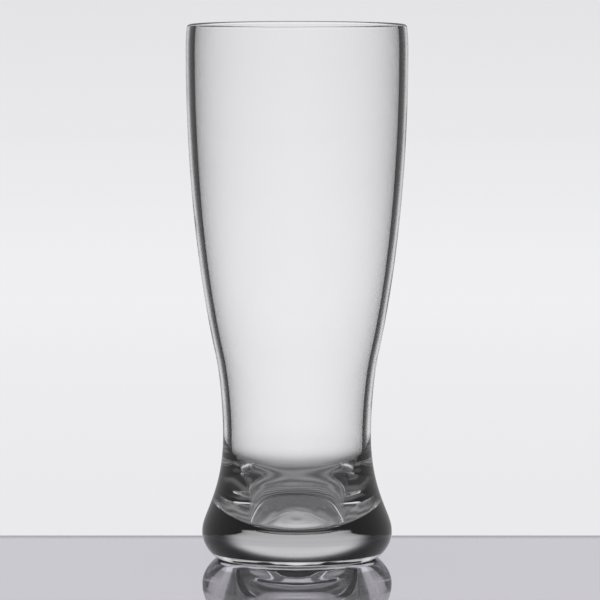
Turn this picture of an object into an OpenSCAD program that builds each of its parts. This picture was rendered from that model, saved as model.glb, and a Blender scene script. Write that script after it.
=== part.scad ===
// Tall pilsner glass: one piece of thick clear glass, with a wide mouth, a waist above the foot
// and a heavy solid foot.
// Upright along +Z, standing on z = 0, with the axis of turning at the origin.

/* [Bowl] */
// Overall height, from the table to the top of the lip
height = 203; // [170:1:260]
// Outside diameter at the mouth
mouth_d = 83.4; // [76:0.2:86]
// Outside diameter at the widest part of the bowl
bowl_d = 84.4; // [78:0.2:100]
// How far the widest part of the bowl lies below the lip
bowl_drop = 10.5; // [6:0.5:20]
// Wall thickness at the mouth and down the bowl
wall = 3; // [1.6:0.1:4]
// Height of the rounding over the lip
lip_h = 1; // [0.5:0.1:2]

/* [Flank] */
// Outside diameter where the flare is steepest
flank_d = 62; // [58:0.5:70]
// Height at which the flare is steepest
flank_z = 77.5; // [68:0.5:100]
// Lean of the wall there, in degrees from upright
flank_lean = 12.5; // [8:0.5:18]

/* [Waist] */
// Outside diameter at the waist
waist_d = 56.4; // [50:0.2:60]
// Height of the waist
waist_z = 47.4; // [40:0.2:56]
// Wall thickness at the waist
waist_wall = 3.2; // [2:0.1:5]

/* [Foot] */
// Outside diameter of the foot at its widest
foot_d = 72.4; // [66:0.2:84]
// Height at which the foot is widest
foot_z = 10.5; // [8:0.5:14]
// Diameter at which the foot meets the table
base_d = 61.2; // [56:0.2:66]
// Width of the rolled edge where the foot turns under
base_roll = 1.6; // [0.8:0.1:3]
// Width of the flat ring that the glass stands on
ring_w = 3; // [1:0.1:8]
// Depth of the shallow hollow inside that ring
hollow_h = 0.6; // [0.3:0.1:3]

/* [Inside] */
// Thickness of the solid glass under the middle of the floor
floor_h = 8.6; // [6:0.1:14]
// Slope of the dished floor at its edge, in degrees
floor_tilt = 8; // [0:0.5:15]
// Inside diameter just above the floor
well_d = 40.4; // [32:0.2:44]
// Radius of the corner between the floor and the wall
well_round = 4; // [1:0.1:6]

/* [Hidden] */

// Straight pieces in each curve of the outline, and facets shown round the axis
steps = 20;
$fn = 180;

mouth_r = mouth_d / 2;
bowl_r = bowl_d / 2;
bowl_z = height - bowl_drop;
lip_z = height - lip_h;
flank_r = flank_d / 2;
flank_dir = [tan(flank_lean), 1];
waist_r = waist_d / 2;
foot_r = foot_d / 2;
base_r = base_d / 2;
hollow_r = base_r - base_roll - ring_w;
well_r = well_d / 2;
floor_r = well_r - well_round * (1 - sin(floor_tilt));
floor_rise = floor_r * tan(floor_tilt) / 2;
well_z = floor_h + floor_rise + well_round * cos(floor_tilt);

// How far each curve's two handles reach, as shares of the rise or the width of that curve
hollow_shares = [0.45, 0.3];
under_shares = [1.14, 0.45, 0.05];
ankle_shares = [0.176, 0.609];
calf_shares = [0.2, 0.312];
flare_shares = [0.15, 0.503];
brim_shares = [0.3, 0.74, 0.25];
well_shares = [0.3, 0.37];

// The place at share t along a cubic curve from a to d with handles b and c
function place(a, b, c, d, t) = let (s = 1 - t)
    s * s * s * a + 3 * s * s * t * b + 3 * s * t * t * c + t * t * t * d;

// Points of such a curve after the share where it starts, as far as its end
function curve(a, b, c, d, start = 0) = [
    for (i = [1:steps]) place(a, b, c, d, start + (1 - start) * i / steps)
];

// Points of a curve between two places at which the wall is upright
function upright(a, d, shares) = curve(
    a,
    a + [0, (d.y - a.y) * shares[0]],
    d - [0, (d.y - a.y) * shares[1]],
    d
);

// The wall from the waist to just under the lip, moved inwards by one thickness at the waist
// and by another from the flank up
function body_side(at_waist, above) = let (
    waist = [waist_r - at_waist, waist_z],
    flank = [flank_r - above, flank_z],
    bowl = [bowl_r - above, bowl_z],
    brim = [mouth_r - above, lip_z],
    calf_rise = flank_z - waist_z,
    flare_rise = bowl_z - flank_z,
    brim_rise = lip_z - bowl_z
) concat(
    curve(
        waist,
        waist + [0, calf_rise * calf_shares[0]],
        flank - flank_dir * calf_rise * calf_shares[1],
        flank
    ),
    curve(
        flank,
        flank + flank_dir * flare_rise * flare_shares[0],
        bowl - [0, flare_rise * flare_shares[1]],
        bowl
    ),
    curve(
        bowl,
        bowl + [0, brim_rise * brim_shares[0]],
        [brim.x + (bowl.x - brim.x) * brim_shares[1], brim.y - brim_rise * brim_shares[2]],
        brim
    )
);

// Shallow hollow under the foot, from the axis out to the flat standing ring
hollow_side = concat(
    [[0, hollow_h]],
    curve(
        [0, hollow_h],
        [hollow_r * hollow_shares[0], hollow_h],
        [hollow_r * (1 - hollow_shares[1]), 0],
        [hollow_r, 0]
    )
);

// Foot, from the rolled edge out to its widest place and in again to the waist
base = [base_r, 0];
widest = [foot_r, foot_z];
base_handle = base + [(foot_r - base_r) * under_shares[0], foot_z * under_shares[1]];
widest_handle = widest - [0, foot_z * under_shares[2]];
roll_share = base_roll / norm(base_handle - base) / 3;
roll_start = base - [base_roll, 0];
roll_end = place(base, base_handle, widest_handle, widest, roll_share);
foot_side = concat(
    [roll_start],
    curve(roll_start, (roll_start + 2 * base) / 3, (roll_end + 2 * base) / 3, roll_end),
    curve(base, base_handle, widest_handle, widest, roll_share),
    upright(widest, [waist_r, waist_z], ankle_shares)
);

// Rounding over the lip, from the outside to the inside
lip_side = [
    for (i = [1:steps - 1])
        let (turn = 180 * i / steps)
            [mouth_r - wall / 2 + wall / 2 * cos(turn), lip_z + lip_h * sin(turn)]
];

// Dished floor, its rounded corner and the inside wall up to the waist
inside_low = concat(
    [[0, floor_h]],
    [
        for (i = [1:steps])
            let (share = i / steps)
                [floor_r * share, floor_h + floor_rise * share * share]
    ],
    [
        for (i = [1:steps])
            let (turn = floor_tilt + (90 - floor_tilt) * i / steps)
                [well_r - well_round * (1 - sin(turn)), well_z - well_round * cos(turn)]
    ],
    upright([well_r, well_z], [waist_r - waist_wall, waist_z], well_shares)
);

inside = concat(inside_low, body_side(waist_wall, wall));

// The same points in the opposite order
function backwards(points) = [for (i = [len(points) - 1:-1:0]) points[i]];

module glass() {
    color([0.86, 0.91, 0.92, 0.45])
        rotate_extrude()
            polygon(concat(
                hollow_side,
                foot_side,
                body_side(0, 0),
                lip_side,
                backwards(inside)
            ));
}

glass();
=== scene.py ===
"""Pilsner glass on a polished pale table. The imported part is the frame, and the clear glass, the
table and the studio are made here."""

import math

import bpy
import numpy as np
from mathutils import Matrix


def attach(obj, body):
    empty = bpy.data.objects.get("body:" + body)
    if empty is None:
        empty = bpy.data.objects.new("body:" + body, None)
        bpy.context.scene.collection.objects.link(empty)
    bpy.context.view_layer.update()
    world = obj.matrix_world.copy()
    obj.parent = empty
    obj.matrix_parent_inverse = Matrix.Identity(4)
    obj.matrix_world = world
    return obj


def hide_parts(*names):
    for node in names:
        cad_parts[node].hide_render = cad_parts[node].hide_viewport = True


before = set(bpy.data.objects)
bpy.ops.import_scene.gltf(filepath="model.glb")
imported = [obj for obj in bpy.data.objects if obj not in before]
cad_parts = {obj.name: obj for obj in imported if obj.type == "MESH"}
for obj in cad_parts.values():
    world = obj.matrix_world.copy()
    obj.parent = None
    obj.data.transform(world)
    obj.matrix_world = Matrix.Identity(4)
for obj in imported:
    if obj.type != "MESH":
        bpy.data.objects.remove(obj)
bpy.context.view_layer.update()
scene = bpy.context.scene
scene.view_settings.view_transform = "Standard"

# Camera
# A long lens 1.2 m off and a little below the rim, looking 3.3 degrees down at the glass, as
# in the photograph. The small shift puts the glass's axis just left of the middle.
IMAGE = 600  # width and height of the picture in pixels
FOCAL = 3162.75  # focal length in pixels
SENSOR = 36.0
AXIS_LEFT = 3  # pixels
LOOK_DOWN = 3.2914  # degrees
camera = bpy.data.objects.new("camera", bpy.data.cameras.new("camera"))
scene.collection.objects.link(camera)
scene.camera = camera
camera.data.sensor_width = SENSOR
camera.data.lens = SENSOR * FOCAL / IMAGE
camera.data.shift_x = AXIS_LEFT / IMAGE
camera.location = (0, -1.20235, 0.16751)
camera.rotation_euler = (math.radians(90 - LOOK_DOWN), 0, 0)
camera.data.clip_start = 0.05
camera.data.clip_end = 40

# Glass
# One piece of clear soda-lime glass, blown or pressed and then fire-polished. Its outline is
# turned about the axis: a shallow hollow under a flat standing ring, a heavy solid foot, a
# narrow waist, a flared bowl with an even wall, and a rounded lip.

# Places on the outline, as radius and height in millimetres
BASE = np.array((30.6, 0.0))
WIDEST = np.array((36.2, 10.5))
WAIST = np.array((28.2, 47.4))
FLANK = np.array((31.0, 77.5))  # where the flare is steepest
BOWL = np.array((42.2, 192.5))
BRIM = np.array((41.7, 202.0))
FLANK_LEAN = math.radians(12.5)
WALL = 3
WAIST_WALL = 3.2
LIP_H = 1
BASE_ROLL = 1.6  # width of the rolled edge where the foot turns under
HOLLOW_R = 26
HOLLOW_H = 0.6
FLOOR_H = 8.6  # solid glass under the middle of the cup's floor
FLOOR_TILT = math.radians(8)  # slope of the floor at its edge
WELL_R = 20.2  # inside radius just above the floor
WELL_ROUND = 4  # radius of the corner between the floor and the wall

# How far the handles of each curve reach, as shares of its width or its rise
HOLLOW_REACH = (0.45, 0.3)
UNDER_REACH = (1.14, 0.45, 0.05)
ANKLE_REACH = (0.176, 0.609)
CALF_REACH = (0.2, 0.312)
FLARE_REACH = (0.15, 0.503)
BRIM_REACH = (0.3, 0.74, 0.25)
WELL_REACH = (0.3, 0.37)

BEND = 24  # points in each curve of the outline
ROUND = 256  # places round the axis


def along(a, b, c, d, t):
    """The place at share t along a cubic curve from a to d with handles b and c. With s for
    1 - t, it is s cubed a, plus 3 s squared t b, plus 3 s t squared c, plus t cubed d."""
    s = 1 - t
    return s**3 * a + 3 * s * s * t * b + 3 * s * t * t * c + t**3 * d


def bend(a, b, c, d, start=0.0):
    """Points of such a curve, evenly spaced in share, from after the share start to its end."""
    t = start + (1 - start) * np.arange(1, BEND + 1) / BEND
    return along(*(np.array(p, float) for p in (a, b, c, d)), t[:, None])


def upright(a, d, low, high):
    """A curve between two places where the wall is upright, its handles straight up and down
    by the shares low and high of the rise."""
    rise = d[1] - a[1]
    return bend(a, (a[0], a[1] + rise * low), (d[0], d[1] - rise * high), d)


def body_side(at_waist, above):
    """The wall from the waist to just under the lip, moved inwards by one thickness at the
    waist and by another above: calf, flare, then brim."""
    waist = WAIST - (at_waist, 0)
    flank, bowl, brim = FLANK - (above, 0), BOWL - (above, 0), BRIM - (above, 0)
    lean = np.array((math.tan(FLANK_LEAN), 1))
    calf, flare, top = flank[1] - waist[1], bowl[1] - flank[1], brim[1] - bowl[1]
    brim_handle = (brim[0] + (bowl[0] - brim[0]) * BRIM_REACH[1], brim[1] - top * BRIM_REACH[2])
    return np.vstack((
        bend(waist, waist + (0, calf * CALF_REACH[0]),
             flank - lean * calf * CALF_REACH[1], flank),
        bend(flank, flank + lean * flare * FLARE_REACH[0],
             bowl - (0, flare * FLARE_REACH[1]), bowl),
        bend(bowl, bowl + (0, top * BRIM_REACH[0]), brim_handle, brim),
    ))


# Under the foot, and the foot itself from its rolled edge to the waist
hollow = np.vstack(([(0, HOLLOW_H)], bend(
    (0, HOLLOW_H), (HOLLOW_R * HOLLOW_REACH[0], HOLLOW_H),
    (HOLLOW_R * (1 - HOLLOW_REACH[1]), 0), (HOLLOW_R, 0))))
base_handle = BASE + (WIDEST - BASE) * UNDER_REACH[:2]
widest_handle = WIDEST - (0, WIDEST[1] * UNDER_REACH[2])
roll = BASE_ROLL / np.hypot(*(base_handle - BASE)) / 3
roll_start = BASE - (BASE_ROLL, 0)
roll_end = along(BASE, base_handle, widest_handle, WIDEST, roll)
foot = np.vstack((
    [roll_start],
    bend(roll_start, (roll_start + 2 * BASE) / 3, (roll_end + 2 * BASE) / 3, roll_end),
    bend(BASE, base_handle, widest_handle, WIDEST, roll),
    upright(WIDEST, WAIST, *ANKLE_REACH),
))

# The lip, half an ellipse over the wall
over = np.pi * np.arange(1, BEND) / BEND
lip = np.stack((BRIM[0] - WALL / 2 + WALL / 2 * np.cos(over), BRIM[1] + LIP_H * np.sin(over)), 1)

# The cup's dished floor, with faint rings and a slight rise in its middle, its corner and its wall
RING_H = 0.025
RING_STEP = 5  # from ring to ring
MIDDLE_H = 0.4  # height of the rise
MIDDLE_R = 5
floor_r = WELL_R - WELL_ROUND * (1 - math.sin(FLOOR_TILT))
floor_rise = floor_r * math.tan(FLOOR_TILT) / 2
corner_z = FLOOR_H + floor_rise + WELL_ROUND * math.cos(FLOOR_TILT)
share = np.arange(0, 2 * BEND + 1) / (2 * BEND)
rings = RING_H * np.sin(np.pi * share) * np.cos(2 * np.pi * floor_r * share / RING_STEP)
rings += MIDDLE_H * np.exp(-((floor_r * share / MIDDLE_R)**2))
floor = np.stack((floor_r * share, FLOOR_H + floor_rise * share**2 + rings), 1)
turn = FLOOR_TILT + (np.pi / 2 - FLOOR_TILT) * np.arange(1, BEND + 1) / BEND
corner = np.stack((WELL_R - WELL_ROUND * (1 - np.sin(turn)),
                   corner_z - WELL_ROUND * np.cos(turn)), 1)
well = upright((WELL_R, corner_z), WAIST - (WAIST_WALL, 0), *WELL_REACH)
inside = np.vstack((floor, corner, well, body_side(WAIST_WALL, WALL)))
outline = np.vstack((hollow, foot, body_side(0, 0), lip, inside[::-1]))


def turned(name, outline, around):
    """A closed surface from an outline that starts and ends on the axis: point (i, j) is at
    radius i and height i of the outline, turned by j shares of a full turn. Each end is one
    point, with a fan of triangles."""
    angle = 2 * np.pi * np.arange(around) / around
    r, z = outline[1:-1, 0], outline[1:-1, 1]
    grid = np.stack((np.outer(r, np.cos(angle)), np.outer(r, np.sin(angle)),
                     np.repeat(z[:, None], around, 1)), 2).reshape(-1, 3)
    points = np.vstack((grid, (0, 0, outline[0, 1]), (0, 0, outline[-1, 1])))
    rows = len(r)
    i, j = np.meshgrid(np.arange(rows - 1), np.arange(around), indexing="ij")
    k = (j + 1) % around
    quads = np.stack((i * around + j, i * around + k, (i + 1) * around + k,
                      (i + 1) * around + j), 2).reshape(-1, 4)
    j = np.arange(around)
    k = (j + 1) % around
    first = np.stack((k, j, np.full(around, rows * around)), 1)
    last = (rows - 1) * around + np.stack((j, k), 1)
    last = np.hstack((last, np.full((around, 1), rows * around + 1)))
    mesh = bpy.data.meshes.new(name)
    mesh.from_pydata(points.tolist(), [], quads.tolist() + first.tolist() + last.tolist())
    mesh.polygons.foreach_set("use_smooth", np.ones(len(mesh.polygons), bool))
    mesh.update()
    piece = bpy.data.objects.new(name, mesh)
    scene.collection.objects.link(piece)
    return piece


glass = turned("glass_body", outline / 1000, ROUND)

# Glass shows dark where it turns light far aside, past the edge of a lit backdrop. Here that dark
# is painted shade: the material darkens the glass's colour by how squarely it faces sight. The
# marks on the outline's points say what that painted shade depends on, and the material works it
# out from them.
LIP_FROM = BRIM[1] + 0.2
r, z = outline[:, 0], outline[:, 1]
way_up = np.arctan2(np.gradient(z), np.gradient(r))
outer = np.arange(len(r)) < len(hollow) + len(foot) + 3 * BEND + BEND // 2
inner_share = np.clip(
    np.interp(z, inside[:, 1], inside[:, 0]) / np.maximum(r, 1e-3), 0.01, 0.99)


def by_height(*stops):
    """A number for each outline point, in straight steps through (height, number) stops."""
    heights, numbers = zip(*stops)
    return np.interp(z, heights, numbers)


def marked(name, values):
    """Give the glass's points a number each, the same all round: values run up its outline."""
    layer = glass.data.attributes.new(name, "FLOAT", "POINT")
    layer.data.foreach_set("value", np.append(
        np.repeat(values[1:-1], ROUND), (values[0], values[-1])))


# How upright the surface is, the share of its radius that the cup behind it takes, and how solid
# the glass there is
marked("upright", np.where(z > LIP_FROM, 1, np.maximum(np.abs(np.sin(way_up)), 0.3)))
marked("inner", inner_share - by_height((100, 0), (150, 0.01)))
marked("solid", by_height((30, 1), (38, 0), (BRIM[1], 0), (LIP_FROM, 1)))
# How much farther the glass can turn light before its painted shade shows dark, all over and where
# only the wall is seen, and which points are on the outside, where the painted shade goes
marked("more", by_height(
    (100, 0), (147, -0.034), (190, -0.042), (BRIM[1], -0.042), (LIP_FROM, 0.26)))
marked("edge", by_height((36, 0), (40, 0.038), (48, 0.03), (63, 0.022), (85, 0)))
marked("outside", outer * by_height((2.2, 0), (2.6, 1)))


def shader(name):
    """A new material, its node tree and its Principled shader."""
    material = bpy.data.materials.new(name)
    material.use_nodes = True
    return material, material.node_tree, material.node_tree.nodes["Principled BSDF"]


def plug(tree, socket, value):
    """Link a node's output to a socket, or set the socket to a number or a colour."""
    if isinstance(value, (int, float, tuple)):
        socket.default_value = value
    else:
        tree.links.new(value, socket)


def sum_of(tree, kind, *values):
    """A Math node of the given kind, whose inputs are numbers or other nodes' outputs."""
    node = tree.nodes.new("ShaderNodeMath")
    node.operation = kind
    for socket, value in zip(node.inputs, values):
        plug(tree, socket, value)
    return node.outputs[0]


def mixed(tree, share, first, second, kind="MIX"):
    """The first tone where share is 0 and the second where it is 1."""
    node = tree.nodes.new("ShaderNodeMix")
    node.data_type = "RGBA"
    node.blend_type = kind
    for place, value in ((0, share), (6, first), (7, second)):
        plug(tree, node.inputs[place], value)
    return node.outputs[2]


def ramp(tree, share, stops, low=0.0, high=1.0):
    """A brightness that runs in straight steps through (place, value) stops, with the places
    between low and high."""
    node = tree.nodes.new("ShaderNodeValToRGB")
    points = node.color_ramp.elements
    while len(points) < len(stops):
        points.new(1)
    for point, (place, value) in zip(list(points)[::-1], stops[::-1]):
        point.position = (place - low) / (high - low)
        point.color = (value, value, value, 1)
    spread = tree.nodes.new("ShaderNodeMapRange")
    spread.inputs["From Min"].default_value = low
    spread.inputs["From Max"].default_value = high
    tree.links.new(share, spread.inputs["Value"])
    tree.links.new(spread.outputs["Result"], node.inputs[0])
    return node.outputs[0]


def ray(tree, fact):
    """A fact about the ray that looks, such as how often it has passed through a surface."""
    return tree.nodes.new("ShaderNodeLightPath").outputs[fact]


def noise(tree, place, scale):
    """A soft noise over Object coordinates, coarser for a smaller scale."""
    node = tree.nodes.new("ShaderNodeTexNoise")
    node.inputs["Scale"].default_value = scale
    node.inputs["Detail"].default_value = 1
    tree.links.new(place, node.inputs["Vector"])
    return node.outputs["Fac"]


IOR = 1.52
CLEAR = (0.998, 0.997, 1, 1)
clear, tree, surface = shader("clear_glass")
surface.inputs["Transmission Weight"].default_value = 1
surface.inputs["Roughness"].default_value = 0
surface.inputs["IOR"].default_value = IOR


def mark(name):
    """The number that the glass's points hold under a name."""
    node = tree.nodes.new("ShaderNodeAttribute")
    node.attribute_name = name
    return node.outputs["Fac"]


def maths(kind, *values):
    """A Math node in the glass."""
    return sum_of(tree, kind, *values)


def low_down(height, *stops):
    """A number in straight steps through (height, number) stops, within the lowest 50 mm."""
    return ramp(tree, height, stops, 0, 0.05)


def bent(here):
    """How far a level ray turns where it meets a round surface at a share of its radius: the
    arc sine of the share, less the arc sine of the share over the glass's index."""
    return maths("SUBTRACT", maths("ARCSINE", maths("MINIMUM", here, 1)),
                 maths("ARCSINE", maths("MINIMUM", maths("DIVIDE", here, IOR), 1)))


# The share of the radius at which sight meets the glass, from how squarely it faces sight
look = tree.nodes.new("ShaderNodeLayerWeight")
toward = maths("MINIMUM", maths("DIVIDE", maths("SUBTRACT", 1, look.outputs["Facing"]),
                                maths("MAXIMUM", mark("upright"), mark("solid"))), 1)
across = maths("SQRT", maths("SUBTRACT", 1, maths("MULTIPLY", toward, toward)))
beyond_cup = maths("GREATER_THAN", across, mark("inner"))

# How far the light there has been turned: by the outside, less by the cup where it is hollow
hollowness = maths("SUBTRACT", 1, mark("solid"))
turned_by = maths("ABSOLUTE", maths("SUBTRACT", bent(across), maths(
    "MULTIPLY", hollowness, bent(maths("DIVIDE", across, mark("inner"))))))

# Height over a line that is low in the middle and 8 mm higher at the edges, as the edge of the
# cup's floor shows. Under it the heavy foot is seen, whose weaker light is painted shade: its
# colour is darkened to 0.53.
LINE_RISE = 0.008
place = tree.nodes.new("ShaderNodeTexCoord")
split = tree.nodes.new("ShaderNodeSeparateXYZ")
tree.links.new(place.outputs["Object"], split.inputs[0])
height = split.outputs[2]
over_line = maths("SUBTRACT", height, maths("MULTIPLY", LINE_RISE, maths(
    "MULTIPLY", across, across)))
foot_painted_shade = low_down(over_line, (0.0134, 0.53), (0.0144, 1))

# How far light can be turned before the painted shade shows dark, in the foot and above it
foot_reach = maths("MULTIPLY", low_down(
    over_line, (0.0009, 0.25), (0.0024, 0.264), (0.0039, 0.28), (0.009, 0.3)),
    low_down(height, (0.0138, 1), (0.0144, 0.4)))
reach = maths("MAXIMUM", foot_reach, low_down(
    over_line, (0.0138, 0.12), (0.0144, 0.62), (0.0150, 0.62), (0.0165, 0.436),
    (0.028, 0.384), (0.032, 0.34), (0.0355, 0.19)))
reach = maths("ADD", maths("ADD", reach, mark("more")),
              maths("MULTIPLY", beyond_cup, mark("edge")))

# The painted shade, as the share of light that the glass's colour lets pass: 1 over 1 plus (turned
# over reach) to a power, squared, times the foot's painted shade. The power is high, for a hard
# edge, where the glass is solid.
SOFT, HARDER, WALL_SHARE = 1.4, 10, 0.6
power = maths("MULTIPLY_ADD", maths("MAXIMUM", mark("solid"), maths(
    "MULTIPLY", WALL_SHARE, beyond_cup)), HARDER, SOFT)
passed = maths("DIVIDE", 1, maths("ADD", 1, maths(
    "POWER", maths("DIVIDE", turned_by, reach), power)))
passed = maths("MULTIPLY", maths("MULTIPLY", passed, passed), foot_painted_shade)

# The painted shade counts once, where sight first enters the outside, and a little less in the
# table's polish, so the glass's mirror image there is painted lighter
POLISH_LESS = 0.3
painted_shade_share = maths("MULTIPLY", mark("outside"), maths(
    "LESS_THAN", ray(tree, "Transmission Depth"), 0.5))
in_polish = maths("GREATER_THAN", ray(tree, "Glossy Depth"), 0.5)
painted_shade_share = maths("MULTIPLY", painted_shade_share, maths(
    "SUBTRACT", 1, maths("MULTIPLY", in_polish, POLISH_LESS)))
# The painted shade goes into the glass's Base Color
tree.links.new(mixed(tree, painted_shade_share, CLEAR, passed), surface.inputs["Base Color"])

# The slight waviness of fire-polished glass
bump = tree.nodes.new("ShaderNodeBump")
bump.inputs["Strength"].default_value = 0.05
bump.inputs["Distance"].default_value = 0.0015
tree.links.new(noise(tree, place.outputs["Object"], 60), bump.inputs["Height"])
tree.links.new(bump.outputs[0], surface.inputs["Normal"])
glass.data.materials.append(clear)
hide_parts("glass")
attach(glass, "root")

# Table
# A polished pale board whose far edge is 63 mm behind the glass's axis, on a pale sheet. Seen
# low across it mirrors the glass's foot, and seen from above it is plain and pale.
BOARD = ((-0.25, -0.25), (0.25, 0.063))
BOARD_Z = -0.0002
SHEET = ((-30, -30), (30, 30))
SHEET_Z = -0.003
BOARD_TONE = (0.8, 0.79, 0.82, 1)
POLISH_TONE = (0.79, 0.78, 0.82, 1)
EDGE_TONE = (0.52, 0.515, 0.54, 1)
STUDIO_WHITE = (0.982, 0.975, 1, 1)  # slightly blue
# On the sheet MIRRORED is a painted reflection tone; in the studio it is the tone for rays off the
# glass's outside
MIRRORED = (0.4, 0.4, 0.4, 1)  # what the glass's outside mirrors


def flat(name, corners, z):
    """A level rectangle from its low and high x and y."""
    (x0, y0), (x1, y1) = corners
    mesh = bpy.data.meshes.new(name)
    mesh.from_pydata([(x0, y0, z), (x1, y0, z), (x1, y1, z), (x0, y1, z)], [], [(0, 1, 2, 3)])
    piece = bpy.data.objects.new(name, mesh)
    scene.collection.objects.link(piece)
    return piece


def far_off(tree):
    """How far a place on the floor is from the glass's axis, in metres."""
    place = tree.nodes.new("ShaderNodeTexCoord")
    length = tree.nodes.new("ShaderNodeVectorMath")
    length.operation = "LENGTH"
    tree.links.new(place.outputs["Object"], length.inputs[0])
    return length.outputs["Value"]


def through(tree):
    """One for rays that have passed through glass, else zero."""
    return sum_of(tree, "GREATER_THAN", ray(tree, "Transmission Depth"), 0.5)


def off_glass(tree):
    """One for rays that the glass's outside mirrors, else zero."""
    return sum_of(tree, "MULTIPLY", ray(tree, "Is Singular Ray"), sum_of(
        tree, "LESS_THAN", ray(tree, "Transmission Depth"), 0.5))


def open_floor(tree):
    """The sheet's glowing tone, with a broad band of painted light about two metres behind the
    glass.
    """
    return ramp(tree, far_off(tree), [(0.1, 0.837), (1.7, 0.886), (6, 0.85), (25, 0.828)], 0, 30)


def painted_shade_through_glass(tree):
    """The floor's tone as seen through the glass, which glows with painted shade, as if it stood
    in the glass's own soft shade: the open floor's tone, over 1 plus (78.7 mm over the distance)
    to the sixth power. It is never darker than a dim tone with faint painted rings of light. A
    painted bright spot under the foot's middle stands for the light the foot gathers, with a
    painted dark ring round it. Straight down through the foot, where the board's polish mirrors
    nothing, it is painted as pale as the rest of the board."""
    power = sum_of(tree, "POWER", sum_of(tree, "DIVIDE", 0.0787, far_off(tree)), 6)
    lit = sum_of(tree, "DIVIDE", open_floor(tree), sum_of(tree, "ADD", 1, power))
    place = tree.nodes.new("ShaderNodeTexCoord")
    ring_step, wander, ring_depth, darkest = 0.0065, 10, 0.07, 0.02
    turn = sum_of(tree, "MULTIPLY_ADD", far_off(tree), 2 * math.pi / ring_step, sum_of(
        tree, "MULTIPLY", noise(tree, place.outputs["Object"], 35), wander))
    under = ramp(tree, far_off(tree), [
        (0.007, 0.5), (0.011, 0.22), (0.015, 0.17), (0.0175, 0.03), (0.028, 0.03), (0.036, 0.12),
        (0.065, 0.17)], 0, 0.08)
    dim = sum_of(tree, "MAXIMUM", darkest, sum_of(
        tree, "MULTIPLY_ADD", sum_of(tree, "SINE", turn), ring_depth, under))
    straight = sum_of(
        tree, "MULTIPLY",
        sum_of(tree, "LESS_THAN", ray(tree, "Transmission Depth"), 2.5),
        sum_of(tree, "LESS_THAN", ray(tree, "Glossy Depth"), 0.5))
    look = tree.nodes.new("ShaderNodeLayerWeight")
    pale = sum_of(tree, "MULTIPLY", straight, ramp(
        tree, look.outputs["Facing"], [(0.08, 0.56), (0.4, 0)]))
    return sum_of(tree, "MAXIMUM", pale, sum_of(tree, "MAXIMUM", lit, dim))


def cooled(tree, tone):
    """A tone times the studio's slightly blue white."""
    return mixed(tree, 1, tone, STUDIO_WHITE, "MULTIPLY")


def glowing(tree, tone):
    """A shader that shows a tone as it is, whatever the light."""
    node = tree.nodes.new("ShaderNodeEmission")
    tree.links.new(tone, node.inputs[0])
    return node.outputs[0]


def laid_over(tree, share, under, top):
    """The shader under, with the shader top laid over it by share."""
    node = tree.nodes.new("ShaderNodeMixShader")
    for socket, value in zip(node.inputs, (share, under, top)):
        tree.links.new(value, socket)
    return node.outputs[0]


# The board: matt under a polish that shows when seen low, darker and matt along its far edge
board = flat("board", BOARD, BOARD_Z)
polished, tree, surface = shader("polished_board")
surface.inputs["Base Color"].default_value = BOARD_TONE
surface.inputs["Roughness"].default_value = 0.5
polish = tree.nodes.new("ShaderNodeBsdfGlossy")
polish.inputs["Color"].default_value = POLISH_TONE
polish.inputs["Roughness"].default_value = 0.02
look = tree.nodes.new("ShaderNodeLayerWeight")
low_view = ramp(tree, look.outputs["Facing"], [(0.55, 0.08), (0.82, 0.91)])
seen = laid_over(tree, low_view, surface.outputs[0], polish.outputs[0])
place = tree.nodes.new("ShaderNodeTexCoord")
split = tree.nodes.new("ShaderNodeSeparateXYZ")
tree.links.new(place.outputs["Object"], split.inputs[0])
far_edge = ramp(tree, split.outputs[1], [(0.052, 0), (0.0605, 0.8), (0.063, 1)], 0, 0.1)
dull = tree.nodes.new("ShaderNodeBsdfDiffuse")
dull.inputs["Color"].default_value = EDGE_TONE
seen = laid_over(tree, far_edge, seen, dull.outputs[0])
# Seen through the glass the board glows with that painted tone: painted shade, painted rings of
# light and a painted bright spot under the foot
seen = laid_over(tree, through(tree), seen, glowing(tree, cooled(tree, painted_shade_through_glass(tree))))
tree.links.new(seen, tree.nodes["Material Output"].inputs["Surface"])
board.data.materials.append(polished)

# The sheet glows with a tone painted for each kind of ray: to the camera its pale tone, where the
# glass's outside mirrors it a painted darker reflection tone, and through the glass the painted
# shade
sheet = flat("sheet", SHEET, SHEET_Z)
pale, tree, _ = shader("pale_sheet")
tone = mixed(tree, off_glass(tree), open_floor(tree), MIRRORED)
tone = mixed(tree, through(tree), tone, painted_shade_through_glass(tree))
tree.links.new(glowing(tree, cooled(tree, tone)), tree.nodes["Material Output"].inputs["Surface"])
sheet.data.materials.append(pale)

# Studio
# The same from every side. The camera, the polish and light through the glass see one surround,
# pale at table height and dark high up. The matt board gets an even light, and the glass's
# outside mirrors one darker tone.
EVEN_LIGHT = (0.78, 0.78, 0.78, 1)
world = bpy.data.worlds.new("studio")
scene.world = world
world.use_nodes = True
tree = world.node_tree
tree.nodes.clear()
way = tree.nodes.new("ShaderNodeTexCoord")
split = tree.nodes.new("ShaderNodeSeparateXYZ")
tree.links.new(way.outputs["Generated"], split.inputs[0])
degrees_up = sum_of(tree, "MULTIPLY", sum_of(tree, "ARCSINE", split.outputs[2]), 180 / math.pi)
surround = ramp(tree, degrees_up, [
    (0, 0.828), (2.1, 0.79), (9, 0.78), (12, 0.66), (30, 0.62), (37, 0.3), (42, 0.05),
    (90, 0.03)], -90, 90)
tone = mixed(tree, ray(tree, "Is Diffuse Ray"), surround, EVEN_LIGHT)
tone = mixed(tree, off_glass(tree), tone, MIRRORED)
background = tree.nodes.new("ShaderNodeBackground")
tree.links.new(cooled(tree, tone), background.inputs[0])
tree.links.new(background.outputs[0], tree.nodes.new("ShaderNodeOutputWorld").inputs[0])
